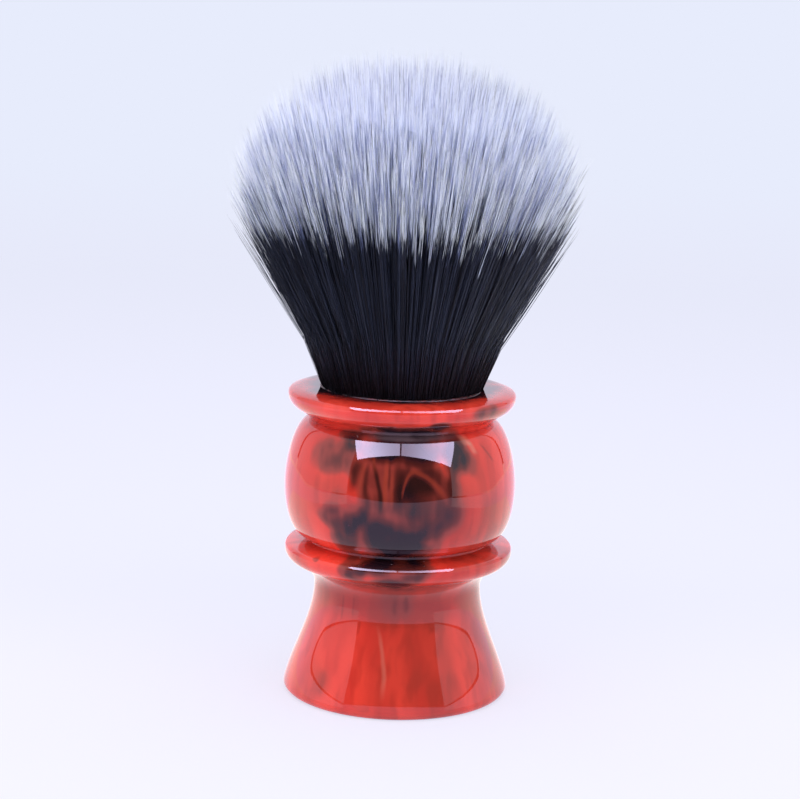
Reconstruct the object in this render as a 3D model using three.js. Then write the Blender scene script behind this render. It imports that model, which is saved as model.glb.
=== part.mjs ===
// Shaving brush: a one-piece turned handle of cast resin, and a fan of fine synthetic bristles whose roots
// are set in a resin plug, bound with cord and glued into the socket in the handle's top.
// Millimetres, +Z up. The origin is the centre of the foot's underside, on the surface the brush stands on.
import * as THREE from "three";

// ---- Driving dimensions ------------------------------------------------------------------------------

// Foot and flare
const footRadius = 19.4;
const footEdge = 0.8; // rounding of the foot's bottom edge
const dishRadius = 13.0; // shallow turned hollow under the foot, so that it stands on a ring
const dishDepth = 0.8;
const dishSlope = 1.2; // width of the hollow's sloping side
const flareHeight = 18.6; // from the foot's edge to the narrowest part of the neck
const flarePull = 6.2; // how far the curve leaves the foot before it turns in
const flareLean = 1.35; // how far it leans in over that stretch
const neckPull = 7.0; // length over which the neck runs straight
const neckRadius = 14.0;

// Bead and groove above the neck
const neckToBead = 5.35; // from the narrowest part to the bead's middle
const beadRound = 2.4; // radius of the bead's own section
const beadReach = 16.7; // from the axis to the middle of that section
const beadUnder = -80; // degrees, where the bead's underside starts
const beadOver = 54; // degrees, where its upper side ends in the groove
const grooveRadius = 15.5;

// Bulb
const bulbRadius = 19.3;
const bulbLower = 9.35; // height of its lower, tighter quarter
const bulbUpper = 11.05; // height of its upper, longer quarter

// Rim
const notchWall = 2.0; // left round the socket, in the undercut between the bulb and the rim
const rimWidth = 5.75; // flat top, from the socket's edge to the outside
const rimHeight = 5.35;
const rimRound = 1.25;
const rimUnder = -45; // degrees, where the rim's rounding starts above its sloping underside

// Socket and what is glued into it
const knotRadius = 12.6; // the plug, and the bristles where they leave it
const glueGap = 0.2; // kept between pieces that are glued together
const glueWall = 0.5;
const glueFloor = 0.7;
const glueBelowRim = 0.35; // the squeezed-out glue stops this far below the rim's top
const socketDepth = 15.0;
const pilotRadius = 2.2; // dimple that the boring bit's point leaves in the socket's floor
const pilotDepth = 1.2;
const plugSink = 2.7; // from the rim's top down to the plug's top
const plugEdge = 0.4;
const cordTurns = 4;
const cordDiameter = 0.8;
const cordRise = 4.0; // from the plug's underside to the lowest turn
const ribSweep = 80; // degrees each way that a turn's outer face shows between its neighbours

// Bristles
const loft = 54.5; // from the rim's top to the top of the crown
const shoulderLoft = 28.0; // from the rim's top to the widest part
const bloomRadius = 28.2;
const crownAcross = 2.15; // exponents of the crown's rounded, slightly flat outline
const crownUp = 2.8;
const tuftsPerRing = [6, 12, 18];
const tuftGap = 0.3;

// Fineness of the faceted surfaces
const aroundSteps = 48;
const hiddenAroundSteps = 24;
const coreAroundSteps = 12;
const curveSteps = 8;
const roundSteps = 4;
const ribSteps = 3;
const tuftSteps = 3;

// ---- Radii and heights worked out from them ----------------------------------------------------------

const socketRadius = knotRadius + glueGap + glueWall + glueGap;
const notchRadius = socketRadius + notchWall;
const rimRadius = socketRadius + rimWidth;

const neckZ = footEdge + flareHeight;
const beadZ = neckZ + neckToBead;
const grooveZ = beadZ + beadRound * Math.sin(THREE.MathUtils.degToRad(beadOver));
const bulbZ = grooveZ + bulbLower;
const notchZ = bulbZ + bulbUpper;
const rimZ = notchZ + rimHeight;
const socketFloorZ = rimZ - socketDepth;
const glueBottomZ = socketFloorZ + glueGap;
const plugBottomZ = glueBottomZ + glueFloor + glueGap;
const plugTopZ = rimZ - plugSink;
const rootZ = plugTopZ + glueGap;
const shoulderZ = rimZ + shoulderLoft;
const crownZ = rimZ + loft;

// ---- Materials ---------------------------------------------------------------------------------------

function finish(color, roughness, metalness = 0) {
  return new THREE.MeshStandardMaterial({ color, roughness, metalness });
}

const castResin = finish(0xa8301c, 0.12);
const plugResin = finish(0x2b2622, 0.45);
const epoxy = finish(0x241a16, 0.3);
const bindingCord = finish(0xb9ae98, 0.85);
const bristle = finish(0xcfd3dc, 0.6);

// ---- Turned pieces -----------------------------------------------------------------------------------

const at = (radius, height) => new THREE.Vector2(radius, height);

// Points of an elliptic arc in the radius-height plane; angles in degrees, anticlockwise when they rise.
function arc(centre, radiusAcross, radiusUp, from, to, steps = roundSteps) {
  const start = THREE.MathUtils.degToRad(from);
  const end = THREE.MathUtils.degToRad(to);
  const curve = new THREE.EllipseCurve(
    centre.x, centre.y, radiusAcross, radiusUp, start, end, end < start,
  );
  return curve.getPoints(steps);
}

// Revolves a profile about +Z. It runs anticlockwise in the radius-height plane, so that faces point out.
function turned(profile, steps = aroundSteps) {
  return new THREE.LatheGeometry(profile, steps).rotateX(Math.PI / 2);
}

function closed(profile) {
  return [...profile, profile[0].clone()];
}

function handleGeometry() {
  const footTop = at(footRadius, footEdge);
  const neck = at(neckRadius, neckZ);
  const flare = new THREE.CubicBezierCurve(
    footTop,
    at(footRadius - flareLean, footEdge + flarePull),
    at(neckRadius, neckZ - neckPull),
    neck,
  );
  return turned([
    at(0, dishDepth),
    at(dishRadius - dishSlope, dishDepth),
    at(dishRadius, 0),
    ...arc(at(footRadius - footEdge, footEdge), footEdge, footEdge, -90, 0),
    ...flare.getPoints(curveSteps).slice(1),
    ...arc(at(beadReach, beadZ), beadRound, beadRound, beadUnder, beadOver, curveSteps),
    ...arc(at(grooveRadius, bulbZ), bulbRadius - grooveRadius, bulbLower, -90, 0, curveSteps),
    ...arc(at(notchRadius, bulbZ), bulbRadius - notchRadius, bulbUpper, 0, 90, curveSteps).slice(1),
    ...arc(at(rimRadius - rimRound, rimZ - rimRound), rimRound, rimRound, rimUnder, 90),
    at(socketRadius, rimZ),
    at(socketRadius, socketFloorZ),
    at(pilotRadius, socketFloorZ),
    at(0, socketFloorZ - pilotDepth),
  ]);
}

// A cup of set glue between the plug and the socket, with a rounded lip just below the rim.
function glueGeometry() {
  const outer = socketRadius - glueGap;
  const inner = outer - glueWall;
  const lip = glueWall / 2;
  const lipCentre = at(inner + lip, rimZ - glueBelowRim - lip);
  return turned([
    at(0, glueBottomZ),
    at(outer, glueBottomZ),
    ...arc(lipCentre, lip, lip, 0, 180),
    at(inner, glueBottomZ + glueFloor),
    at(0, glueBottomZ + glueFloor),
  ]);
}

function plugGeometry() {
  const groove = knotRadius - cordDiameter - glueGap;
  const grooveBottom = plugBottomZ + cordRise - glueGap;
  const grooveTop = grooveBottom + cordTurns * cordDiameter + 2 * glueGap;
  return turned([
    at(0, plugBottomZ),
    at(knotRadius - plugEdge, plugBottomZ),
    at(knotRadius, plugBottomZ + plugEdge),
    at(knotRadius, grooveBottom),
    at(groove, grooveBottom),
    at(groove, grooveTop),
    at(knotRadius, grooveTop),
    at(knotRadius, plugTopZ),
    at(0, plugTopZ),
  ]);
}

// The turns of cord lie side by side and are set hard in glue, so they make one ribbed band.
function cordGeometry() {
  const inner = knotRadius - cordDiameter;
  const middle = inner + cordDiameter / 2;
  const bottom = plugBottomZ + cordRise;
  const ribs = [];
  for (let turn = 0; turn < cordTurns; turn += 1) {
    const centre = at(middle, bottom + (turn + 0.5) * cordDiameter);
    ribs.push(...arc(centre, cordDiameter / 2, cordDiameter / 2, -ribSweep, ribSweep, ribSteps));
  }
  const top = bottom + cordTurns * cordDiameter;
  return turned(closed([at(inner, bottom), ...ribs, at(inner, top)]), hiddenAroundSteps);
}

// ---- Bristles ----------------------------------------------------------------------------------------

// Height of the crown at a share of the bloom's radius: 0 on the axis, 1 at the widest part.
function crownHeight(share) {
  const fall = Math.pow(Math.min(share, 1), crownAcross);
  return shoulderZ + (crownZ - shoulderZ) * Math.pow(1 - fall, 1 / crownUp);
}

const ringCount = tuftsPerRing.length;

// Outer edge of a ring of tufts as a share of the knot's radius. Ring 0 is the tuft on the axis.
const ringEdge = (ring) => (2 * ring + 1) / (2 * ringCount + 1);

// A bristle that starts at a share of the knot's radius: up out of the plug to the rim, then straight to
// the crown. Along runs from 0 to 1, and the first of tuftSteps stretches is the one below the rim.
function bristlePoint(share, along) {
  const rimAlong = 1 / tuftSteps;
  if (along <= rimAlong) {
    const height = THREE.MathUtils.lerp(rootZ, rimZ, along / rimAlong);
    return at(share * knotRadius, height);
  }
  const fan = (along - rimAlong) / (1 - rimAlong);
  return at(
    share * THREE.MathUtils.lerp(knotRadius, bloomRadius, fan),
    THREE.MathUtils.lerp(rimZ, crownHeight(share), fan),
  );
}

// The gap to the next ring is held at the root, where the tufts are thinnest, and widens with them.
const gapShare = tuftGap / 2 / knotRadius;

function coreTuftGeometry() {
  const edge = ringEdge(0) - gapShare;
  const side = [];
  for (let step = 0; step <= tuftSteps; step += 1) side.push(bristlePoint(edge, step / tuftSteps));
  return turned([at(0, rootZ), ...side, at(0, crownZ)], coreAroundSteps);
}

// A block whose X, Y and Z are bent to run outwards, around the axis and along the bristles.
function tuftGeometry(ring, place) {
  const inner = ringEdge(ring - 1) + gapShare;
  const outer = ring === ringCount ? 1 : ringEdge(ring) - gapShare;
  const turn = (2 * Math.PI) / tuftsPerRing[ring - 1];
  const geometry = new THREE.BoxGeometry(1, 1, 1, tuftSteps, tuftSteps, tuftSteps);
  const position = geometry.getAttribute("position");
  const corner = new THREE.Vector3();
  for (let i = 0; i < position.count; i += 1) {
    corner.fromBufferAttribute(position, i).addScalar(0.5);
    const share = THREE.MathUtils.lerp(inner, outer, corner.x);
    const point = bristlePoint(share, corner.z);
    const halfGap = Math.asin(gapShare / share);
    const angle = THREE.MathUtils.lerp(place * turn + halfGap, (place + 1) * turn - halfGap, corner.y);
    position.setXYZ(i, point.x * Math.cos(angle), point.x * Math.sin(angle), point.y);
  }
  geometry.computeVertexNormals();
  return geometry;
}

// ---- Assembly ----------------------------------------------------------------------------------------

function piece(name, geometry, material) {
  const mesh = new THREE.Mesh(geometry, material);
  mesh.name = name;
  return mesh;
}

const brush = new THREE.Group();
brush.add(piece("handle", handleGeometry(), castResin));

const knot = new THREE.Group();
knot.add(piece("glue_cup", glueGeometry(), epoxy));
knot.add(piece("knot_plug", plugGeometry(), plugResin));
knot.add(piece("binding_cord", cordGeometry(), bindingCord));
knot.add(piece("tuft_core", coreTuftGeometry(), bristle));
tuftsPerRing.forEach((count, index) => {
  const ring = index + 1;
  for (let place = 0; place < count; place += 1) {
    const number = String(place + 1).padStart(2, "0");
    knot.add(piece(`tuft_ring${ring}_${number}`, tuftGeometry(ring, place), bristle));
  }
});
brush.add(knot);

export default brush;
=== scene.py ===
"""Shaving brush: a turned cast-resin handle and a two-tone synthetic knot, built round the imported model.

Laid out as an add-on: the sizes and finishes that a user would change are properties, each piece has its
own operator, and one panel in the sidebar lists them. Lengths are in metres.
"""

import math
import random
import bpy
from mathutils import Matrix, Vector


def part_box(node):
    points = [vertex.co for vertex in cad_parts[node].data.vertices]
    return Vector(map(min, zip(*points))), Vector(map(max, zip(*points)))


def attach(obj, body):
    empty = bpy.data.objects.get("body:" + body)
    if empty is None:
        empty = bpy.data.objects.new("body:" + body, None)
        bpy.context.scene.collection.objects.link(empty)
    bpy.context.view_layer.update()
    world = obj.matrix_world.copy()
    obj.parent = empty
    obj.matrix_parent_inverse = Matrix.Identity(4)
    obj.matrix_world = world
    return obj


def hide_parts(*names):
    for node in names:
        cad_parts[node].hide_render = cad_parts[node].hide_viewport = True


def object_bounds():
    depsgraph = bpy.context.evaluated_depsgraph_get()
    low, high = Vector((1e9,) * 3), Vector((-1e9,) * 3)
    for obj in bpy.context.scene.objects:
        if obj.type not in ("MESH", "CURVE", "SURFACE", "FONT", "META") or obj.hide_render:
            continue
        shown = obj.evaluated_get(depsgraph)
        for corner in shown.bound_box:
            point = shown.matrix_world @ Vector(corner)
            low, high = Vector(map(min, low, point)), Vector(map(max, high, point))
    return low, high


bl_info = {
    "name": "Shaving Brush",
    "version": (1, 0, 0),
    "blender": (4, 5, 0),
    "location": "View3D > Sidebar > Shaving Brush",
    "description": "Builds a shaving brush: turned resin handle, glued knot and two-tone bristles",
    "category": "Object",
}

import bmesh
import bpy
import numpy as np
from mathutils import Matrix, Vector, geometry

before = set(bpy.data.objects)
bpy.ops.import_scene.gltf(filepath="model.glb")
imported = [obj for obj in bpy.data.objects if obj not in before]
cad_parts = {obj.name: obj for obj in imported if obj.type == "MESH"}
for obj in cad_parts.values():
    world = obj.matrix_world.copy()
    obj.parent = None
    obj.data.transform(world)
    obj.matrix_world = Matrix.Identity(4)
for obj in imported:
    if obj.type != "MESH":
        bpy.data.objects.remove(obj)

MM = 0.001
FRAME_BOX = [[float(x) for x in corner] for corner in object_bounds()]
HANDLE_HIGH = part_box("handle")[1]
PLUG_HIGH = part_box("knot_plug")[1]
GLUE_LOW, GLUE_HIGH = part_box("glue_cup")
CORE_LOW, CORE_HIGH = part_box("tuft_core")
RIM_Z = HANDLE_HIGH[2]
CROWN_Z = CORE_HIGH[2]
ROOT_Z = CORE_LOW[2]
KNOT_RADIUS = PLUG_HIGH[0]
MOUTH_RADIUS = KNOT_RADIUS - 0.85 * MM
BLOOM_RADIUS = FRAME_BOX[1][0]
FOOT_RADIUS = HANDLE_HIGH[0]
BODY = "root"


# ---- Properties ----


def length(name, description, default):
    """A length property. Defaults are in metres."""
    return bpy.props.FloatProperty(
        name=name, description=description, default=default, min=0.0, subtype="DISTANCE", unit="LENGTH"
    )


def colour(name, description, default):
    """A linear RGB colour property."""
    return bpy.props.FloatVectorProperty(
        name=name, description=description, default=default, min=0.0, max=1.0, size=3, subtype="COLOR"
    )


class HandleSizes(bpy.types.PropertyGroup):
    """Radii and heights of the turned handle, from the foot up."""

    foot_radius: length("Foot radius", "Radius of the polished foot", FOOT_RADIUS - 0.25 * MM)
    foot_edge: length("Foot edge", "Rounding of the foot's bottom edge", 1.0 * MM)
    dish_radius: length("Dish radius", "Radius of the shallow hollow under the foot", 13.0 * MM)
    dish_depth: length("Dish depth", "Depth of that hollow", 0.8 * MM)
    neck_radius: length("Neck radius", "Radius at the narrowest part", 14.15 * MM)
    neck_height: length("Neck height", "Height of the narrowest part", 18.6 * MM)
    bead_radius: length("Bead radius", "Radius of the bead at its fullest", 19.3 * MM)
    bead_height: length("Bead height", "Height of its fullest part", 24.7 * MM)
    bead_arris: length("Bead arris", "Rounding of the bead's crisp upper edge", 0.75 * MM)
    groove_radius: length("Groove radius", "Radius of the groove over the bead", 15.6 * MM)
    groove_height: length("Groove height", "Height of the bottom of the bulb", 26.95 * MM)
    bulb_radius: length("Bulb radius", "Radius of the bulb at its fullest", 19.55 * MM)
    bulb_height: length("Bulb height", "Height of its fullest part", 36.04 * MM)
    notch_radius: length("Notch radius", "Radius of the undercut below the rim", 15.5 * MM)
    notch_height: length("Notch height", "Height of that undercut", 47.09 * MM)
    rim_radius: length("Rim radius", "Radius of the rim", 19.17 * MM)
    rim_arris: length("Rim arris", "Rounding of the rim's upper edge", 0.75 * MM)
    socket_radius: length("Socket radius", "Radius of the socket for the knot", 13.5 * MM)
    socket_depth: length("Socket depth", "Depth of that socket", 15.0 * MM)


class KnotSizes(bpy.types.PropertyGroup):
    """Shape and fineness of the bristles."""

    shoulder_height: length("Shoulder height", "Height of the widest part", RIM_Z + 28.0 * MM)
    dye_height: length("Dye height", "Height at which black turns to white", 79.2 * MM)
    filament_radius: length("Filament radius", "Radius of one filament", 0.045 * MM)
    clump: length("Clump", "Width of a clump of locks that lean together", 0.85 * MM)
    locks: bpy.props.IntProperty(
        name="Locks", description="Number of locks that the filaments gather in", default=24000, min=50
    )
    per_lock: bpy.props.IntProperty(
        name="Filaments per lock", description="Filaments in one lock", default=3, min=1
    )


class ResinFinish(bpy.types.PropertyGroup):
    """Colours of the cast resin, from clean to smoky. Brick, stain and smoke are also laid as painted
    shade, under the bead and on top of the rim round the glue.
    """

    bright: colour("Bright", "The cleanest, brightest places", (0.92, 0.068, 0.046))
    orange: colour("Orange", "Brightest veins", (0.80, 0.056, 0.034))
    red: colour("Red", "Main colour of the resin", (0.66, 0.040, 0.026))
    deep: colour("Deep red", "Darker veins", (0.50, 0.028, 0.018))
    brick: colour("Brick", "Duller places, where the red is thin", (0.37, 0.034, 0.022))
    stain: colour("Stain", "Thin smoke over red", (0.29, 0.038, 0.028))
    brown: colour("Brown", "Half clear smoke", (0.095, 0.014, 0.011))
    smoke: colour("Smoke", "Black clouds in the resin", (0.014, 0.006, 0.011))
    glow: colour("Glow", "Lit edges of the folds in the smoke", (0.36, 0.046, 0.022))
    fold: colour("Fold", "Dark folds in the smoke", (0.018, 0.005, 0.004))
    haze: colour("Haze", "Milky beige wisps", (0.62, 0.24, 0.17))
    film: colour("Film", "Film of polishing dust", (0.27, 0.17, 0.20))
    dust: colour("Dust", "Tiny pale specks", (0.75, 0.62, 0.66))


class BristleFinish(bpy.types.PropertyGroup):
    """Colours of the bristles. Low, body, short, point and tip hold painted light: the undyed part grows
    whiter towards the tips for the lit crown, and the short outer filaments are brighter for the lit sides
    of the knot.
    """

    root: colour("Root", "Dyed part of a filament", (0.014, 0.019, 0.034))
    low: colour("Low", "Undyed part just over the dye", (0.66, 0.73, 1.0))
    short: colour("Short", "Undyed part of the outer filaments, which is short", (0.87, 0.94, 1.0))
    body: colour("Body", "Undyed part deep in the knot", (0.72, 0.80, 1.0))
    point: colour("Point", "Last millimetres of the shorter filaments", (0.93, 0.98, 1.0))
    tip: colour("Tip", "Last millimetres of the longest filaments", (0.80, 0.87, 1.0))


# ---- Mesh helpers ----


def arc(centre, across, up, start, end, steps):
    """Points of an elliptic arc in the radius-height plane, with angles in degrees."""
    angles = [math.radians(start + (end - start) * i / steps) for i in range(steps + 1)]
    return [(centre[0] + across * math.cos(a), centre[1] + up * math.sin(a)) for a in angles]


def bend(outline, steps, *points):
    """Carries an outline on from its last point, by a cubic Bezier curve with these three points."""
    corners = [Vector((r, z, 0.0)) for r, z in (outline[-1], *points)]
    outline += [(p.x, p.y) for p in geometry.interpolate_bezier(*corners, steps + 1)[1:]]


def turned(outline, steps):
    """A bmesh made by spinning an outline of (radius, height) points about +Z."""
    shape = bmesh.new()
    points = [shape.verts.new((r, 0.0, z)) for r, z in outline]
    edges = [shape.edges.new(pair) for pair in zip(points, points[1:])]
    turn = {"cent": (0, 0, 0), "axis": (0, 0, 1), "angle": math.tau}
    bmesh.ops.spin(shape, geom=points + edges, steps=steps, use_merge=True, **turn)
    bmesh.ops.remove_doubles(shape, verts=shape.verts, dist=0.001 * MM)
    bmesh.ops.recalc_face_normals(shape, faces=shape.faces)
    return shape


def mesh_of(shape):
    """A mesh made from a bmesh, which is freed."""
    mesh = bpy.data.meshes.new("mesh")
    shape.to_mesh(mesh)
    shape.free()
    return mesh


def linked(name, data):
    """An object in the scene with this data."""
    made = bpy.data.objects.new(name, data)
    bpy.context.scene.collection.objects.link(made)
    return made


def put(name, mesh, material):
    """An object in the scene, with this mesh and only this material."""
    made = linked(name, mesh)
    mesh.name = name
    mesh.materials.clear()
    mesh.materials.append(material)
    return made


def add_piece(name, mesh, material, replaced, corner=None):
    """A smooth piece that stands for these nodes. Edges that turn more than corner degrees stay sharp."""
    piece = put(name, mesh, material)
    mesh.shade_smooth()
    if corner:
        mesh.set_sharp_from_angle(angle=math.radians(corner))
    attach(piece, BODY)
    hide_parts(*replaced)


# ---- Shader helpers ----


class Wiring:
    """Adds nodes to a tree. An input is given as another node's output, as a value or as an RGB colour."""

    def __init__(self, tree):
        self.tree = tree

    def add(self, kind, inputs=None, **settings):
        """The outputs of a new shader node. Inputs are keyed by name or by number."""
        made = self.tree.nodes.new("ShaderNode" + kind)
        for key, value in settings.items():
            setattr(made, key, value)
        for key, value in (inputs or {}).items():
            self.feed(made.inputs[key], value)
        return made.outputs

    def feed(self, socket, value):
        if isinstance(value, bpy.types.NodeSocket):
            self.tree.links.new(value, socket)
        elif socket.type == "RGBA":
            socket.default_value = (*value, 1.0)
        else:
            socket.default_value = value

    def math(self, operation, a, b=0.0, c=0.0):
        return self.add("Math", {0: a, 1: b, 2: c}, operation=operation)[0]

    def times(self, product, *factors):
        for factor in factors:
            product = self.math("MULTIPLY", product, factor)
        return product

    def plus(self, value, a, b):
        """A value plus the product of two more."""
        return self.math("MULTIPLY_ADD", a, b, value)

    def share(self, value, middle, half):
        """How far a value is from a middle, as a share of half a width."""
        return self.math("DIVIDE", self.math("SUBTRACT", value, middle), half)

    def swung(self, value, noise, amount):
        """A value moved up and down by a noise, by as much as half the amount."""
        return self.plus(value, self.math("SUBTRACT", noise, 0.5), amount)

    def vector(self, operation, a, b):
        return self.add("VectorMath", {0: a, 1: b}, operation=operation)[0]

    def scaled(self, vector, factor):
        return self.add("VectorMath", {0: vector, "Scale": factor}, operation="SCALE")[0]

    def norm(self, vector):
        return self.add("VectorMath", {0: vector}, operation="LENGTH")["Value"]

    def split(self, vector):
        """A vector's X, Y and Z."""
        return self.add("SeparateXYZ", {0: vector})

    def joined(self, x, y):
        return self.add("CombineXYZ", {0: x, 1: y})[0]

    def noise(self, vector, scale, detail=2.0, roughness=0.5, output="Fac"):
        inputs = {"Vector": vector, "Scale": scale, "Detail": detail, "Roughness": roughness}
        return self.add("TexNoise", inputs)[output]

    def upright(self, vector, scale, share, detail=2.0, roughness=0.5):
        """A noise drawn out upwards: heights count for only a share of what widths do."""
        return self.noise(self.vector("MULTIPLY", vector, (1.0, 1.0, share)), scale, detail, roughness)

    def ramp(self, value, low, high, to_low=0.0, to_high=1.0):
        """A smooth step from to_low to to_high as value goes from low to high. Low may be the larger."""
        ends = {"From Min": low, "From Max": high, "To Min": to_low, "To Max": to_high}
        return self.add("MapRange", {"Value": value, **ends}, interpolation_type="SMOOTHSTEP")[0]

    def mix(self, factor, a, b):
        return self.add("Mix", {0: factor, 6: a, 7: b}, data_type="RGBA")[2]

    def bumps(self, height, depth):
        """A normal with bumps of a height from 0 to 1."""
        return self.add("Bump", {"Height": height, "Strength": 0.5, "Distance": depth})[0]

    def surface(self, shader):
        self.add("OutputMaterial", {"Surface": shader})

    def coat(self, inputs):
        """Puts a Principled shader on the material's output."""
        self.surface(self.add("BsdfPrincipled", inputs)[0])

    def emission(self, rgb, strength):
        return self.add("Emission", {"Color": rgb, "Strength": strength})[0]

    def shaders(self, factor, a, b):
        return self.add("MixShader", {0: factor, 1: a, 2: b})[0]

    def use(self, group, **inputs):
        """The first output of a node group."""
        return self.add("Group", inputs, node_tree=group)[0]

    def place(self):
        """A point's place on the object, in millimetres."""
        return self.scaled(self.add("TexCoord")["Object"], 1.0 / MM)


def emptied(owner):
    """The wiring of a material or a world, cleared of nodes."""
    owner.use_nodes = True
    owner.node_tree.nodes.clear()
    return Wiring(owner.node_tree)


def new_material(name):
    """An empty material and its wiring."""
    material = bpy.data.materials.new(name)
    return material, emptied(material)


def new_group(name, inputs, outputs):
    """A node group, its wiring, entry and exit. Sockets are given by name and default."""
    group = bpy.data.node_groups.new(name, "ShaderNodeTree")
    for direction, sockets in (("INPUT", inputs), ("OUTPUT", outputs)):
        for label, default in sockets.items():
            kind = "NodeSocketVector" if isinstance(default, tuple) else "NodeSocketFloat"
            socket = group.interface.new_socket(label, in_out=direction, socket_type=kind)
            socket.default_value = default
    entry, leaving = (group.nodes.new("NodeGroup" + end) for end in ("Input", "Output"))
    return group, Wiring(group), entry.outputs, leaving.inputs


# ---- Shared effects ----


def patch_group():
    """A soft oval patch on a turned surface: 1 in its middle, 0 outside."""
    sizes = {"At Turn": 0.0, "At Height": 0.0, "Half Turn": 10.0, "Half Height": 5.0}
    group, w, entry, leaving = new_group("Patch", {"Turn": 0.0, "Height": 0.0, **sizes}, {"Mask": 0.0})
    across = w.share(entry["Turn"], entry["At Turn"], entry["Half Turn"])
    up = w.share(entry["Height"], entry["At Height"], entry["Half Height"])
    w.feed(leaving["Mask"], w.ramp(w.norm(w.joined(across, up)), 1.2, 0.3))
    return group


def streak_group():
    """A soft line up a turned surface. It leans and bends as it climbs past its middle."""
    sizes = {"At Turn": 0.0, "At Height": 0.0, "Half Turn": 1.0, "Half Height": 3.0}
    path = {"Turn": 0.0, "Height": 0.0, "Lean": 0.0, "Bend": 0.0}
    group, w, entry, leaving = new_group("Streak", {**path, **sizes}, {"Mask": 0.0})
    climb = w.math("SUBTRACT", entry["Height"], entry["At Height"])
    line = w.plus(entry["At Turn"], climb, w.plus(entry["Lean"], climb, entry["Bend"]))
    across = w.math("ABSOLUTE", w.share(entry["Turn"], line, entry["Half Turn"]))
    up = w.math("ABSOLUTE", w.math("DIVIDE", climb, entry["Half Height"]))
    w.feed(leaving["Mask"], w.times(w.ramp(across, 1.3, 0.1), w.ramp(up, 1.1, 0.4)))
    return group


def drift_group():
    """Coordinates carried along by slow and quick eddies, as colour poured into setting resin is."""
    place = {"Vector": (0.0, 0.0, 0.0)}
    group, w, entry, leaving = new_group("Drift", {**place, "Slow": 8.0, "Quick": 2.0}, place)
    carried = entry["Vector"]
    for eddy, scale, detail in (("Slow", 0.045, 1.0), ("Quick", 0.16, 2.0)):
        push = w.vector("SUBTRACT", w.noise(carried, scale, detail, output="Color"), (0.5, 0.5, 0.5))
        carried = w.vector("ADD", carried, w.scaled(push, entry[eddy]))
    w.feed(leaving["Vector"], carried)
    return group


# ---- Materials ----

# Where each finish gathers at the front of the handle, by patches (turn, height, half turn, half height,
# amount) or by streaks (turn, height, half turn, half height, lean, bend, amount). Turns are in degrees
# from the front, rising to the right, and heights in mm. An amount under 0 clears what others leave.
# Painted shade: the smoke row at height 21.9 and the dull row at height 22.2 darken the resin under the
# bead. The dull rows at turns from 44 to 72 make the right side duller and darker.
SMOKE_AND_SHADE = (
    (-38, 43.4, 18, 3.6, 0.46), (-31, 42.6, 8, 2.6, 0.06), (-27, 45.8, 6, 1.6, 0.4),
    (-25, 42, 5, 2.8, 0.24), (31, 44.2, 9, 3.8, 0.9), (39, 42.4, 6, 2.6, 0.38), (48, 50.8, 12, 1.5, 0.52),
    (-46, 25.8, 3, 0.5, 0.4), (-36, 41.3, 9, 2.2, 0.06), (27, 39, 6, 2.6, 0.36), (-30, 47, 9, 1, 0.5),
    (8, 47.2, 26, 1, 0.55), (9, 48.3, 24, 1.3, 0.7), (20, 49.4, 7, 0.9, 0.7), (-15, 48.1, 16, 1.2, 0.45),
    (0, 45.2, 32, 2.4, 0.95), (0, 40.8, 27, 3.2, 0.12), (-19, 41, 7, 4, 0.32), (22, 41.6, 4, 3, -0.1),
    (14, 40.6, 16, 4, 0.6), (-7, 40, 13, 5.5, 0.4), (-18, 36.8, 4, 3.4, 0.3), (-14, 35, 13, 3.6, 0.42),
    (3, 36.4, 9, 3.6, 0.6), (-3, 30.8, 16, 3.6, 1), (-29, 30.2, 9, 3.8, 0.72), (-24, 33, 6, 2.4, 0.4),
    (-17, 31.5, 8, 4.5, 0.45), (3, 29, 13, 1.6, 0.5), (-35, 34, 10, 2.4, 0.5), (-31, 36.6, 8, 2.6, 0.25),
    (18, 34.6, 15, 4.2, 0.68), (14, 30.2, 12, 3.8, 0.45), (27, 35, 9, 5, 0.24), (-3, 27, 27, 1.5, 0.5),
    (-11, 25.9, 14, 1.5, 0.7), (10, 25.6, 11, 1.8, 0.6), (-22, 24.8, 6, 1.5, 0.48),
    (0, 23.8, 17, 1.5, 0.48), (0, 18.8, 16, 4.6, 0.42), (-8, 23, 20, 1.3, 0.38), (-28, 25.2, 5, 1.8, 0.4),
    (0, 21.9, 38, 1, 0.26), (-7, 34, 9, 2.6, 0.08), (-22, 34.2, 7, 2.4, 0.16), (-20, 18.5, 9, 3, 0.12),
    (-43, 4.2, 11, 3.2, 0.2), (-17, 1.6, 6, 1, 0.2),
)
DULL_AND_SHADE = (
    (0, 22.2, 45, 1.3, 0.85), (72, 14, 15, 20, 0.95), (-3, 49.3, 16, 1, 0.45), (48, 42.5, 11, 4, 0.45),
    (-3, 9, 20, 15, 0.55), (22, 9, 17, 14, 0.88), (54, 8, 14, 15, 0.7), (36, 9, 8, 14, 0.3),
    (0, 18.8, 95, 4.6, 0.9), (46, 31, 30, 7.5, 0.85), (34, 39.5, 14, 5.5, 0.55), (54, 37, 14, 4, 0.35),
    (-38, 37, 16, 4.2, 0.45), (52, 49.8, 20, 2.2, 0.85), (44, 24.6, 34, 2.6, 0.25), (-60, 20, 12, 6, 0.4),
    (-50, 4, 13, 4, 0.5), (-57, 32, 12, 5, 0.25), (-20, 46, 6, 1.5, 0.3),
)
BRIGHT = (
    (-33, 9, 15, 8, 0.16), (-42, 25.5, 18, 2.5, 0.6), (-34, 50.6, 18, 1.6, 0.55),
)
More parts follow.
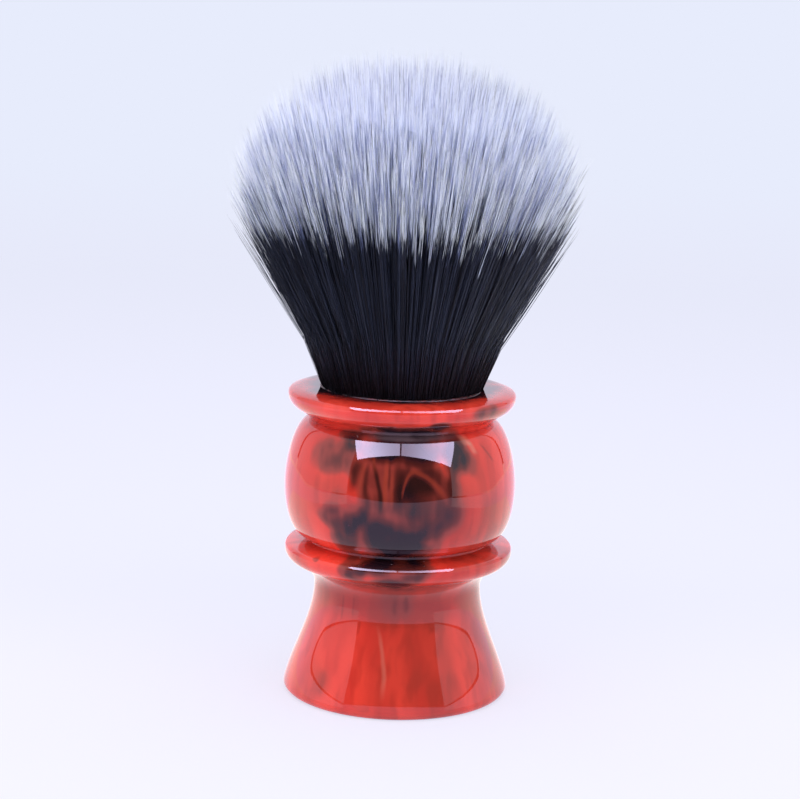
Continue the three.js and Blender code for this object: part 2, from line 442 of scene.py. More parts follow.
FOLDS = (
    (-9.9, 39, 1.4, 4.9, -0.5, -0.09, 0.85), (-0.8, 40, 2.6, 4.6, -0.1, 0, 0.6),
    (-22, 41, 3, 3, 0.6, 0, 0.6), (-16.5, 40.5, 1.4, 3.2, 0.2, 0, 0.4), (-5.4, 41, 0.8, 2.6, 0, 0, 0.4),
    (-38.5, 17, 1.2, 2.6, 0.1, 0, 0.25), (-30, 17.5, 1, 2.2, 0, 0, 0.18), (-25, 14, 1.2, 1.5, 0, 0, 0.25),
    (51.5, 43.8, 1.1, 1.8, -2.2, 0, 0.35),
)
GLOW = (
    (-7.2, 39.5, 1.5, 4.4, 0.1, 0, 0.5), (-4, 39, 1.1, 3.8, 0, 0, 0.35),
    (-12.8, 42.6, 1, 1.6, -0.8, 0, 0.45), (-18.8, 40.8, 2, 2.8, 0.3, 0, 0.35),
)
DUST = (
    (8, 47.2, 26, 0.8, 0.8), (-26, 47, 8, 0.5, 0.8), (0, 26.2, 60, 0.6, 0.4),
)
HAZE = (
    (38, 46.2, 3.4, 0.9, -2, 0, 0.5), (41.5, 45, 2, 1.2, -1.5, 0, 0.45),
    (-7, 9, 1.6, 6, -0.58, -0.083, 0.26),
)
FILM = ((5, 47, 30, 0.7, 1),)
# The arch that one fold makes: turn of its top, height of its foot, turn to its left and right feet, rise.
ARCH = (7.0, 37.0, 5.5, 14.5, 4.7)
# How much a height counts for in the upright veins, against a width.
VEIN_STRETCH = 0.07


def spot(w, vector):
    """Where a point is on the handle: its turn and height, as the tables give them."""
    x, y, z = w.split(vector)
    return w.math("DEGREES", w.math("ARCTAN2", x, w.times(y, -1.0))), z


def gathered(w, group, at, table, start=0.0):
    """The sum of a table's patches or streaks at a spot."""
    total = start
    labels = ("At Turn", "At Height", "Half Turn", "Half Height", "Lean", "Bend")
    for *values, amount in table:
        mask = w.use(group, Turn=at[0], Height=at[1], **dict(zip(labels, values)))
        total = w.plus(total, mask, amount)
    return total


def clean_resin(w, finish, patch, carried, veins, rear):
    """Red resin in upright veins, with its brightest places and its dull ones, which include painted shade
    under the bead.
    """
    at = spot(w, carried)
    broad = w.upright(carried, 0.2, VEIN_STRETCH, 1.0, 0.4)
    clean = w.mix(w.ramp(broad, 0.42, 0.62), finish.red, finish.orange)
    clean = w.mix(w.ramp(veins, 0.45, 0.75, 0.0, 0.6), clean, finish.deep)
    clean = w.mix(gathered(w, patch, at, BRIGHT), clean, finish.bright)
    patchy = w.times(w.ramp(w.upright(carried, 0.09, 0.25, 1.0), 0.4, 0.65), rear)
    dullness_and_shade = w.plus(gathered(w, patch, at, DULL_AND_SHADE), patchy, 0.6)
    return w.mix(w.times(dullness_and_shade, w.ramp(veins, 0.3, 0.7, 0.75, 1.15)), clean, finish.brick)


def arched(w, finish, base, at):
    """A fold that arches over a dark hollow: a lit edge with a dark line outside it."""
    at_turn, at_height, left, right, rise = ARCH
    aside = w.math("SUBTRACT", at[0], at_turn)
    before = w.math("DIVIDE", w.math("MINIMUM", aside, 0.0), left)
    after = w.math("DIVIDE", w.math("MAXIMUM", aside, 0.0), right)
    across = w.math("ADD", before, after)
    up = w.share(at[1], at_height, rise)
    drooping = w.plus(up, w.math("MAXIMUM", across, 0.0), 0.3)
    out = w.norm(w.joined(across, drooping))
    above = w.ramp(up, 0.0, 0.4)
    edge = w.times(w.ramp(out, 0.94, 1.04), w.ramp(out, 1.22, 1.08), above, 0.38)
    line = w.times(w.ramp(out, 1.15, 1.3), w.ramp(out, 1.75, 1.4), above, 0.4)
    hollow = w.times(w.ramp(out, 0.98, 0.82), w.ramp(up, 0.05, 0.5, 0.25, 0.85))
    base = w.mix(edge, base, finish.glow)
    base = w.mix(line, base, finish.fold)
    return w.mix(hollow, base, finish.fold)


def shaded_rim_top(w, finish, base, place, clouds, wisps):
    """Painted shade on top of the rim round the glue, under the overhanging bristles: the smoke colour,
    darkest at the glue.
    """
    x, y, height = w.split(place)
    on_top = w.ramp(height, RIM_Z / MM - 0.6, RIM_Z / MM - 0.2)
    shade_near_glue = w.ramp(w.swung(w.norm(w.joined(x, y)), wisps, 5.0), 17.2, 14.2)
    return w.mix(w.times(shade_near_glue, on_top, w.ramp(clouds, 0.4, 0.5, 0.75, 1.0)), base, finish.smoke)


def dusted(w, finish, base, place, amount):
    """Tiny pale specks, in the middles of a few of the cells that fill space."""
    cells = w.add("TexVoronoi", {"Vector": place, "Scale": 1.15})
    few = w.ramp(w.add("SeparateColor", {0: cells["Color"]})[0], 0.8, 0.82)
    return w.mix(w.times(w.ramp(cells["Distance"], 0.17, 0.1), few, amount), base, finish.dust)


def resin_material(finish):
    """Polished cast resin: clean red, with smoke, folds, pale wisps and a little polishing dust over it,
    and painted shade under the bead and on top of the rim round the glue.
    """
    material, w = new_material("cast_resin")
    drift, patch, streak = drift_group(), patch_group(), streak_group()
    place = w.place()
    _, y, height = w.split(place)
    rear = w.ramp(y, -1.0, 8.0)
    carried = w.use(drift, Vector=place, Slow=1.6, Quick=1.8)
    on_line = spot(w, w.use(drift, Vector=place, Slow=0.6, Quick=0.8))
    clouds = w.upright(carried, 0.075, 0.8, 1.0, 0.4)
    wisps = w.upright(carried, 0.3, 0.6)
    veins = w.upright(carried, 0.5, VEIN_STRETCH, 1.0)

    behind = w.times(w.ramp(clouds, 0.46, 0.68, 0.0, 0.95), rear)
    # The smoke sum includes painted shade under the bead.
    smoke = gathered(w, patch, spot(w, carried), SMOKE_AND_SHADE, behind)
    smoke = w.swung(smoke, wisps, w.times(smoke, 0.36))
    smoke = w.swung(smoke, veins, w.ramp(smoke, 0.1, 0.4, 0.0, 0.55))
    base = clean_resin(w, finish, patch, carried, veins, rear)
    for thin, thick, laid in ((0.06, 0.42, "stain"), (0.36, 0.72, "brown"), (0.66, 0.98, "smoke")):
        base = w.mix(w.ramp(smoke, thin, thick), base, getattr(finish, laid))
    for table, laid in ((GLOW, finish.glow), (FOLDS, finish.fold), (HAZE, finish.haze)):
        base = w.mix(gathered(w, streak, on_line, table), base, laid)
    base = arched(w, finish, base, on_line)
    still = (on_line[0], height)
    film = w.times(gathered(w, patch, still, FILM), w.ramp(wisps, 0.3, 0.6, 0.2, 0.6))
    base = w.mix(film, base, finish.film)
    base = shaded_rim_top(w, finish, base, place, clouds, wisps)
    base = dusted(w, finish, base, place, gathered(w, patch, still, DUST))

    w.coat({"Base Color": base, "Roughness": 0.03, "IOR": 1.54})
    return material


def glue_material():
    """Set glue, nearly black, glossy and a little lumpy."""
    material, w = new_material("set_glue")
    lumps = w.noise(w.place(), 1.4, 3.0)
    thin, thick = (0.08, 0.012, 0.008), (0.01, 0.005, 0.005)
    glue = w.mix(w.ramp(lumps, 0.4, 0.7), thick, thin)
    roughness = w.ramp(lumps, 0.3, 0.7, 0.3, 0.55)
    w.coat({"Base Color": glue, "Roughness": roughness, "Normal": w.bumps(lumps, 0.2 * MM)})
    return material


def plug_material():
    """Dull dark cast resin, with the ends of the dyed filaments showing in it as darker dots."""
    material, w = new_material("plug_resin")
    place = w.place()
    ends = w.add("TexVoronoi", {"Vector": place, "Scale": 2.2})["Distance"]
    cloudy = w.noise(place, 0.5)
    resin = w.mix(w.ramp(cloudy, 0.35, 0.65), (0.105, 0.082, 0.066), (0.055, 0.044, 0.038))
    dotted = w.mix(w.ramp(ends, 0.3, 0.22), resin, (0.015, 0.014, 0.016))
    w.coat({"Base Color": dotted, "Roughness": w.ramp(cloudy, 0.3, 0.7, 0.45, 0.6)})
    return material


def cord_material():
    """Waxed cotton cord: off-white strands, with painted shade where they lie against each other."""
    material, w = new_material("binding_cord")
    x, y, height = w.split(w.place())
    lay = w.plus(w.times(height, 5.0), w.math("ARCTAN2", x, y), 60.0)
    strand = w.ramp(w.math("SINE", lay), -1.0, 0.3)
    cotton = w.mix(strand, (0.3, 0.26, 0.19), (0.66, 0.61, 0.5))
    w.coat({"Base Color": cotton, "Roughness": 0.75, "Normal": w.bumps(strand, 0.08 * MM)})
    return material


# A filament's V picks its row in the map: a class for each length of undyed end, and in it a few levels of
# painted shade.
CLASSES_OF_LENGTH = 16
SHADE_ODDS = (0.3, 0.28, 0.22, 0.2)
SHADES = len(SHADE_ODDS)
ROWS = CLASSES_OF_LENGTH * SHADES
CLASS_LENGTH = 1.9 * MM
MAP_LENGTH = 65.0 * MM
# What is left of each colour in the darkest painted shade, for the shadowed gaps between tips.
GAP_SHADE_SHARES = (0.22, 0.25, 0.4)


def bristle_material(finish):
    """One filament. U runs along it, and its dye ends at U's middle. V picks its row in the map."""
    material, w = new_material("bristle")
    along, across, _ = w.split(w.add("UVMap", uv_map="OFBake")[0])
    row = w.math("FLOOR", w.times(across, ROWS))
    own = w.add("TexWhiteNoise", {"W": row}, noise_dimensions="1D")["Value"]
    past_dye = w.times(w.math("SUBTRACT", along, 0.5), MAP_LENGTH / MM)
    class_number = w.math("FLOOR", w.math("DIVIDE", row, SHADES))
    undyed = w.times(w.math("ADD", class_number, 0.5), CLASS_LENGTH / MM)
    from_tip = w.math("SUBTRACT", undyed, past_dye)

    # Painted light: the undyed part grows brighter from the dye towards the tips, for the lit crown, and
    # the short outer filaments are brighter, for the lit sides of the knot.
    body = w.mix(w.ramp(past_dye, 1.0, 22.0), finish.low, finish.body)
    body = w.mix(w.ramp(undyed, 7.0, 19.0), finish.short, body)
    point = w.mix(w.ramp(past_dye, 3.0, 24.0), finish.point, finish.tip)
    white = w.mix(w.ramp(from_tip, 0.5, 8.0), point, body)
    # Painted shade: in the two dimmer shades the filament is darkened from just below its tip, for the
    # shadowed gaps between tips.
    shade = w.ramp(w.math("MODULO", row, SHADES), 1.4, 3.0, 0.0, 0.95)
    gap_shade = [part * share for part, share in zip(finish.body, GAP_SHADE_SHARES)]
    white = w.mix(w.times(shade, w.ramp(from_tip, 0.4, 2.0)), white, gap_shade)

    # Painted shade: the last few millimetres above the glue are darkened nearly to black.
    dark, light = ([share * part for part in finish.root] for share in (0.35, 2.3))
    root = w.mix(w.ramp(along, 0.075, 0.15, 0.92, 0.0), w.mix(own, dark, light), (0.002, 0.002, 0.003))
    change = w.ramp(w.math("ADD", past_dye, w.ramp(own, 0.0, 1.0, -0.6, 0.6)), -0.5, 0.9)
    roughness = w.ramp(along, 0.08, 0.2, 0.85, 0.38)
    w.coat({"Base Color": w.mix(change, root, white), "Roughness": roughness, "Specular IOR Level": 0.3})
    return material


# ---- Handle ----


def add_foot_and_neck(outline, sizes):
    """The hollow underneath, the rounded bottom edge and the flare up to the neck."""
    foot, edge, neck = sizes.foot_radius, sizes.foot_edge, sizes.neck_radius
    depth, dish, slope = sizes.dish_depth, sizes.dish_radius, 1.2 * MM
    outline += [(0.0, depth), (dish - slope, depth), (dish, 0.0)]
    outline += arc((foot - edge, edge), edge, edge, -90, 0, 8)
    out = (foot - 1.2 * MM, edge + 5.6 * MM)
    bend(outline, 28, out, (neck, sizes.neck_height - 6.2 * MM), (neck, sizes.neck_height))


def add_bead(outline, sizes):
    """A fillet from the neck, the bead's full side and crisp upper edge, and its shallow top."""
    fullest, height, arris = sizes.bead_radius, sizes.bead_height, sizes.bead_arris
    groove, shelf = sizes.groove_radius, height + 1.25 * MM
    across, drop = 2.9 * MM, 2.4 * MM
    up = (sizes.neck_radius, sizes.neck_height + 1.4 * MM)
    below = (fullest - 4.1 * MM, height - 3.4 * MM)
    bend(outline, 10, up, below, (fullest - 2.4 * MM, height - 2.35 * MM))
    outline += arc((fullest - across, height), across, drop, -78, 0, 16)[1:]
    outline += arc((fullest - arris, height + 0.25 * MM), arris, arris, 0, 68, 10)
    inward = (fullest - 1.6 * MM, shelf)
    bend(outline, 12, inward, (groove + 0.7 * MM, shelf + 0.05 * MM), (groove, shelf + 0.55 * MM))


def add_bulb(outline, sizes):
    """The bulb, fuller below its widest part than an ellipse is, and drawn in to the undercut above."""
    low, wide, high = sizes.groove_height, sizes.bulb_height, sizes.notch_height
    lower_fullness, upper_fullness = 2.15, 1.76
    lower = (sizes.groove_radius, low, lower_fullness)
    upper = (sizes.notch_radius, high, upper_fullness)
    steps = 24
    for inner, end, fullness in (lower, upper):
        side = []
        for step in range(steps + 1):
            away = math.cos(math.pi / 2 * step / steps)
            out = (1 - away**fullness) ** (1 / fullness)
            side.append((inner + (sizes.bulb_radius - inner) * out, wide + (end - wide) * away))
        outline += side if end == low else side[-2::-1]


def add_rim_and_socket(outline, sizes):
    """The rim, with a hollow undercut, a full underside and a top that falls a little to its edge."""
    edge, arris, socket = sizes.rim_radius, sizes.rim_arris, sizes.socket_radius
    height = RIM_Z - 1.1 * MM
    lip, lip_height = edge - 1.6 * MM, height - 2.5 * MM
    out = (sizes.notch_radius + 0.3 * MM, sizes.notch_height + 0.8 * MM)
    bend(outline, 8, out, (lip - 0.9 * MM, lip_height - 0.35 * MM), (lip, lip_height))
    out = (lip + 0.75 * MM, lip_height + 0.45 * MM)
    bend(outline, 12, out, (edge, height - 1.3 * MM), (edge, height))
    outline += arc((edge - arris, height), arris, arris, 0, 72, 10)[1:]
    inward = (edge - 1.3 * MM, RIM_Z - 0.1 * MM)
    bend(outline, 8, inward, (edge - 1.9 * MM, RIM_Z), (edge - 3.0 * MM, RIM_Z))
    bottom = RIM_Z - sizes.socket_depth
    outline += [(socket, RIM_Z), (socket, bottom), (0.0, bottom)]


def handle_outline(sizes):
    """The handle's section, from the axis under the foot, up the outside and down into the socket."""
    outline = []
    for add in (add_foot_and_neck, add_bead, add_bulb, add_rim_and_socket):
        add(outline, sizes)
    return outline


class BRUSH_OT_handle(bpy.types.Operator):
    """Turn the resin handle, with its socket and the hollow under its foot"""

    bl_idname = "brush.handle"
    bl_label = "Handle"

    def execute(self, context):
        scene = context.scene
        mesh = mesh_of(turned(handle_outline(scene.brush_handle), 160))
        resin = resin_material(scene.brush_resin)
        add_piece("handle_body", mesh, resin, ["handle"], corner=32)
        return {"FINISHED"}


# ---- Glue and hidden parts ----


def glue_outline(lip):
    """The section of the cup of glue, with a lip that stands out from it on top of the rim."""
    outer, low = GLUE_HIGH[0], GLUE_LOW[2]
    inner, floor = outer - 0.5 * MM, low + 0.7 * MM
    mouth = MOUTH_RADIUS + 0.4 * MM
    outline = [(0.0, low), (outer, low), (outer, RIM_Z - 0.4 * MM)]
    outline += arc((outer, RIM_Z - 0.05 * MM), lip, 0.25 * MM, -60, 180, 12)
    outline += [(mouth, RIM_Z - 0.2 * MM), (mouth, ROOT_Z + 0.3 * MM)]
    return outline + [(inner, ROOT_Z), (inner, floor), (0.0, floor)]


def squeeze(shape, lip):
    """Makes the lip of glue wavy, with long slow waves and short small ones."""
    outer, swing = GLUE_HIGH[0], 1.4
    chance = random.Random(5)
    waves = [(number, chance.uniform(0, math.tau), 1 / (2 + number)) for number in (2, 3, 5, 8, 13, 21, 34)]
    for vert in shape.verts:
        beyond = max(0.0, vert.co.xy.length - outer) / lip
        if beyond and vert.co.z > RIM_Z - lip:
            angle = math.atan2(vert.co.y, vert.co.x)
            wave = sum(size * math.sin(number * angle + start) for number, start, size in waves)
            vert.co.xy *= 1 + beyond * wave * swing * lip / outer


class BRUSH_OT_glue(bpy.types.Operator):
    """Pour the cup of glue that holds the knot, with an uneven lip where it squeezed out"""

    bl_idname = "brush.glue"
    bl_label = "Glue"

    def execute(self, context):
        lip = 0.45 * MM
        shape = turned(glue_outline(lip), 240)
        squeeze(shape, lip)
        add_piece("glue_squeezed_out", mesh_of(shape), glue_material(), ["glue_cup"])
        return {"FINISHED"}


class BRUSH_OT_hidden_parts(bpy.types.Operator):
    """Finish the plug of resin that the filaments are set in, and the cord bound round it"""

    bl_idname = "brush.hidden_parts"
    bl_label = "Plug and binding"

    def execute(self, context):
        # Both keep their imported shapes, which nothing shows once the knot is glued in.
        for node, make in (("knot_plug", plug_material), ("binding_cord", cord_material)):
            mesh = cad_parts[node].data
            mesh.materials.clear()
            mesh.materials.append(make())
        return {"FINISHED"}


# ---- Bristles ----

# Levels that cut a filament into straight stretches, and the rings of tufts: name, start and end as shares
# of the knot's radius, number of pieces, and levels. The last ring takes in all that roots past its end.
INNER_LEVELS = (0.6, 0.85)
OUTER_LEVELS = (0.3, 0.55, 0.75, 0.9)
RINGS = (
    ("core", 0.0, 1 / 7, 1, INNER_LEVELS),
    ("ring1", 1 / 7, 3 / 7, 2, INNER_LEVELS),
    ("ring2", 3 / 7, 5 / 7, 4, INNER_LEVELS),
    ("ring3", 5 / 7, 2.0, 9, OUTER_LEVELS),
)


def filament_template(levels):
    """A three-sided tapering tube of unit length and radius, cut into stretches at these levels."""
    shape = bmesh.new()
    sizes = {"segments": 3, "radius1": 1.0, "radius2": 0.0, "depth": 1.0}
    bmesh.ops.create_cone(shape, cap_ends=True, cap_tris=True, **sizes)
    bmesh.ops.translate(shape, verts=shape.verts, vec=(0, 0, 0.5))
    bmesh.ops.remove_doubles(shape, verts=shape.verts, dist=1e-5)
    for level in levels:
        whole = shape.verts[:] + shape.edges[:] + shape.faces[:]
        bmesh.ops.bisect_plane(shape, geom=whole, plane_co=(0, 0, level), plane_no=(0, 0, 1))
    bmesh.ops.triangulate(shape, faces=shape.faces)
    bmesh.ops.recalc_face_normals(shape, faces=shape.faces)
    return mesh_of(shape)


def copies(mesh, count):
    """A mesh that holds count copies of another, one after the other."""
    holder = linked("copies", mesh)
    array = holder.modifiers.new("copies", "ARRAY")
    array.count = count
    array.use_relative_offset = False
    graph = bpy.context.evaluated_depsgraph_get()
    made = bpy.data.meshes.new_from_object(holder.evaluated_get(graph))
    bpy.data.objects.remove(holder)
    return made


def crown_height(share, shoulder):
    """Height of the crown at a share of the bloom's radius: 0 on the axis, 1 at the widest part."""
    fall = np.minimum(share, 1.0) ** 2.15
    return shoulder + (CROWN_Z - shoulder) * (1 - fall) ** (1 / 2.8)


def polar(radius, angle, height):
    return np.stack([radius * np.cos(angle), radius * np.sin(angle), height], axis=-1)


class Filaments:
    """Roots, tips and looks of many filaments, as arrays with one row each."""

    def __init__(self, root, mouth, tip, bow, radius, dye, shade):
        self.root, self.mouth, self.tip, self.bow = root, mouth, tip, bow
        self.radius, self.dye, self.shade = radius, dye, shade

    def chosen(self, mask):
        return Filaments(*[value[mask] for value in vars(self).values()])


class Locks:
    """Locks that filaments gather in, evenly spread over the knot. A few at its edge stand out loose."""

    def __init__(self, sizes, chance):
        count = sizes.locks
        self.number = np.arange(count)
        self.share = share = np.sqrt((self.number + 0.5) / count)
        self.angle = angle = self.number * math.pi * (3 - math.sqrt(5))
        # 0 for the inner three quarters of the knot's radius, then up to 1 at its edge.
        self.outer = np.clip((share - 0.75) / 0.25, 0.0, 1.0)
        # How far each lock leans outwards and sideways, and how far it reaches past the crown.
        self.lean = chance.normal(0.0, 0.38 * MM, (count, 2))
        self.lean[:, 0] = np.minimum(self.lean[:, 0], 0.3 * MM)
        self.lean[:, 0] += self.outer * chance.normal(0.15 * MM, 0.55 * MM, count)
        self.loose = (share > 0.96) & (chance.uniform(0, 1, count) < 0.04)
        self.lean[:, 0] += self.loose * chance.uniform(0.3 * MM, 1.4 * MM, count)
        self.reach = np.clip(chance.normal(-1.7 * MM, 2.3 * MM, count), -5.6 * MM, 1.2 * MM)
        # The locks in one square of the knot are drawn aside, and up or down, together.
        columns = 1 + (share * np.cos(angle) + 1.0) * BLOOM_RADIUS / sizes.clump
        rows = 1 + (share * np.sin(angle) + 1.0) * BLOOM_RADIUS / sizes.clump
        across = int(2 * BLOOM_RADIUS / sizes.clump) + 3
        square = columns.astype(int) * across + rows.astype(int)
        self.drawn = chance.normal(0, 0.3 * MM, (across * across, 2))[square]
        self.reach += np.clip(chance.normal(0, 0.9 * MM, across * across), -3.0 * MM, 1.0 * MM)[square]
        self.reach += self.loose * chance.uniform(0, 2.5 * MM, count)


def dye_heights(sizes, locks, lock, tip, chance):
    """Height at which each filament turns white. Some locks are dyed too far, even nearly to their tips."""
    count = sizes.locks
    late = chance.exponential(3.3 * MM, count) * (chance.uniform(0, 1, count) < 0.38)
    early = np.minimum(chance.exponential(2.0 * MM, count), 3.6 * MM) * (chance.uniform(0, 1, count) < 0.08)
    dye = sizes.dye_height + (late - early + chance.normal(0, 1.3 * MM, count))[lock]
    dye += chance.normal(0, 0.5 * MM, len(lock))
    dark = ((chance.uniform(0, 1, count) < 0.13 * (1 - 0.8 * locks.outer)) | locks.loose)[lock]
    undyed = chance.uniform(0.8 * MM, 9 * MM, count) * np.where(locks.loose, 0.4, 1.0)
    return np.where(dark, np.maximum(dye, tip[:, 2] - undyed[lock]), dye)


def grow(sizes, seed):
    """Every filament of the knot, spread over its lock from the plug, through the mouth, to the crown."""
    chance = np.random.default_rng(seed)
    locks = Locks(sizes, chance)
    lock = np.repeat(locks.number, sizes.per_lock)
    count = len(lock)
    share, angle = locks.share[lock], locks.angle[lock]
    cell = 1.0 / math.sqrt(sizes.locks)
    root_share = share + chance.uniform(-1, 1, count) * cell
    root_angle = angle + chance.uniform(-1, 1, count) * cell / np.maximum(share, cell)
    root_share = np.abs(root_share)
    root_share = np.where(root_share > 1, 2 - root_share, root_share)
    tip_share = share + chance.normal(0, 0.35, count) * cell
    tip_angle = angle + chance.normal(0, 0.35, count) * cell / np.maximum(share, cell)
    tip_share = np.clip(np.abs(tip_share), 0, 1)
    root = polar(root_share * KNOT_RADIUS, root_angle, np.full(count, ROOT_Z))
    mouth = polar(root_share * MOUTH_RADIUS, root_angle, np.full(count, RIM_Z))
    wide = BLOOM_RADIUS * (1 + 0.03 * locks.outer[lock] ** 2)
    tip = polar(tip_share * wide, tip_angle, crown_height(tip_share, sizes.shoulder_height))
    out = np.stack([np.cos(tip_angle), np.sin(tip_angle)], axis=-1)
    side = np.stack([-out[:, 1], out[:, 0]], axis=-1)
    tip[:, :2] += out * locks.lean[lock, :1] + side * locks.lean[lock, 1:] + locks.drawn[lock]
    run = tip - mouth
    run /= np.linalg.norm(run, axis=1, keepdims=True)
    tip += run * (locks.reach[lock] + chance.normal(0, 0.5 * MM, count))[:, None]
    bow = chance.normal(0, 0.1 * MM, (sizes.locks, 3))[lock] + chance.normal(0, 0.18 * MM, (count, 3))
    radius = sizes.filament_radius * chance.uniform(0.75, 1.2, count)
    dye = dye_heights(sizes, locks, lock, tip, chance)
    # Each lock takes one level of painted shade, for the gaps between tips.
    shade = chance.choice(SHADES, sizes.locks, p=SHADE_ODDS)[lock]
    return Filaments(root, mouth, tip, bow, radius, dye, shade)


def bent(filaments, local):
    """Places of the template's points on each filament: bowed, and straight up through the glue."""
    along = local[:, 2]
    taper = np.clip((1.02 - along) / 0.3, 0.0, 1.0) ** 0.7
    ring = local[:, :2] / np.maximum(np.linalg.norm(local[:, :2], axis=1, keepdims=True), 1e-6)
    ring[along > 0.999] = 0.0
    mouth = filaments.mouth
    stub = (mouth - filaments.root)[:, None, :]
    run = filaments.tip - mouth
    climb = along[None, :, None]
    path = mouth[:, None, :] + run[:, None, :] * climb
    path += filaments.bow[:, None, :] * (4 * climb * (1 - climb))
    path -= stub * (along < 1e-4)[None, :, None]
    forward = run / np.linalg.norm(run, axis=1)[:, None]
    aslant = np.array([0.3, 0.9, 0.1])
    side = np.cross(forward, aslant)
    side /= np.linalg.norm(side, axis=1, keepdims=True)
    other = np.cross(forward, side)
    width = (filaments.radius[:, None] * taper[None, :])[:, :, None]
    return path + width * (side[:, None, :] * ring[None, :, :1] + other[:, None, :] * ring[None, :, 1:])


def mapped(filaments, local, corner):
    """U and V of the corners of each filament's triangles, each triangle on one side of the map's seam."""
    turn = np.arctan2(local[:, 1], local[:, 0]) / math.tau
    middle = local[corner].reshape(-1, 3, 3).mean(axis=1)
    face_turn = (np.arctan2(middle[:, 1], middle[:, 0]) / math.tau)[:, None]
    corner_turn = face_turn + (turn[corner].reshape(-1, 3) - face_turn + 0.5) % 1.0 - 0.5
    corner_turn = (corner_turn + 0.5).ravel() % 1.0
    run = filaments.tip - filaments.mouth
    reach = np.linalg.norm(run, axis=1)
    dyed = (filaments.dye - filaments.mouth[:, 2]) / np.maximum(run[:, 2], MM) * reach
    number = np.clip(((reach - dyed) / CLASS_LENGTH).astype(int), 0, CLASSES_OF_LENGTH - 1)
    row = number * SHADES + filaments.shade
    v = (row[:, None] + 0.1 + 0.8 * corner_turn[None, :]) / ROWS
    u = 0.5 + (reach[:, None] * local[corner, 2][None, :] - dyed[:, None]) / MAP_LENGTH
    return np.stack([u, v], axis=-1)


def filament_mesh(filaments, levels):
    """One mesh of all these filaments: copies of the template, each bent along its own path."""
    template = filament_template(levels)
    mesh = copies(template, len(filaments.radius))
    local = np.empty(len(template.vertices) * 3)
    template.vertices.foreach_get("co", local)
    local = local.reshape(-1, 3)
    corner = np.empty(len(template.loops), dtype=np.int32)
    template.loops.foreach_get("vertex_index", corner)
    mesh.vertices.foreach_set("co", bent(filaments, local).ravel())
    layer = mesh.uv_layers.new(name="OFBake")
    layer.uv.foreach_set("vector", mapped(filaments, local, corner).ravel())
    mesh.update()
    bpy.data.meshes.remove(template)
    return mesh


class BRUSH_OT_bristles(bpy.types.Operator):
    """Grow the knot's filaments, in pieces that each stand for a few neighbouring tufts"""

    bl_idname = "brush.bristles"
    bl_label = "Bristles"

    def execute(self, context):
        scene = context.scene
        material = bristle_material(scene.brush_bristle)
        filaments = grow(scene.brush_knot, 7)
        share = np.hypot(filaments.root[:, 0], filaments.root[:, 1]) / KNOT_RADIUS
        angle = np.arctan2(filaments.root[:, 1], filaments.root[:, 0]) % math.tau
        for ring, low, high, sectors, levels in RINGS:
            tufts = sorted(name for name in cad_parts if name.startswith("tuft_" + ring))
            each = len(tufts) // sectors
            turn = angle / math.tau * sectors
            for sector in range(sectors):
                mask = (share >= low) & (share < high) & (turn >= sector) & (turn < sector + 1)
                mesh = filament_mesh(filaments.chosen(mask), levels)
                name = "bristles_" + ring + (f"_{sector + 1}" if sectors > 1 else "")
                add_piece(name, mesh, material, tufts[sector * each : (sector + 1) * each])
        return {"FINISHED"}


# ---- Stage ----

# Tilt and roll are in degrees, the lens in mm, and colours are linear RGB.
CAMERA_PLACE = (-0.00035, -0.35318, 0.11657)
CAMERA_TILT = -10.644
CAMERA_ROLL = 1.55
LENS = 95.97
LAMP_PLACE = (0.0, -0.22, 0.42)
LAMP_AIM = (0.0, 0.0, 0.06)
NEAR_PAPER = (0.845, 0.848, 0.975)
REAR_PAPER = (0.796, 0.806, 0.945)
FAR_PAPER = (0.8, 0.838, 0.975)
MIRRORED_FRONT = (0.75, 0.68, 1.0)


class BRUSH_OT_stage(bpy.types.Operator):
    """Set the camera, the pale floor, the white tent that the resin mirrors, and the light"""

    bl_idname = "brush.stage"
    bl_label = "Stage"

    def execute(self, context):
        place_camera(context.scene)
        lay_floor()
        hang_tent()
        light_world(context.scene)
        hang_lamp()
        context.scene.view_settings.view_transform = "Standard"
        return {"FINISHED"}


def place_camera(scene):
    data = bpy.data.cameras.new("camera")
    data.lens = LENS
    data.sensor_width = 36.0
    camera = linked("camera", data)
    tilt = Matrix.Rotation(math.radians(90 + CAMERA_TILT), 4, "X")
    roll = Matrix.Rotation(math.radians(CAMERA_ROLL), 4, "Z")
    camera.matrix_world = Matrix.Translation(CAMERA_PLACE) @ tilt @ roll
    scene.camera = camera


def lay_floor():
    """A wide sheet of pale paper. The camera sees it evenly bright, with part of the object's shadow."""
    shape = bmesh.new()
    bmesh.ops.create_circle(shape, cap_ends=True, segments=96, radius=3.0)
    material, w = new_material("floor_paper")
    place = w.place()
    away = w.norm(place)
    depth = w.split(place)["Y"]
    paper = w.mix(w.ramp(depth, -15.0, 70.0), NEAR_PAPER, REAR_PAPER)
    paper = w.mix(w.ramp(away, 150.0, 1200.0), paper, FAR_PAPER)
    matt = w.add("BsdfDiffuse", {"Color": paper})[0]
    even = w.emission(paper, 1.0)
    path = w.add("LightPath")
    seen = w.shaders(w.times(path["Is Camera Ray"], w.ramp(away, 60.0, 600.0, 0.72, 1.0)), matt, even)
    behind = w.ramp(depth, -60.0, 40.0)
    mirrored = w.mix(behind, MIRRORED_FRONT, (1.0, 1.0, 1.0))
    lit = w.emission(mirrored, w.ramp(behind, 0.0, 1.0, 1.0, 1.35))
    w.surface(w.shaders(path["Is Glossy Ray"], seen, lit))
    put("floor", mesh_of(shape), material)


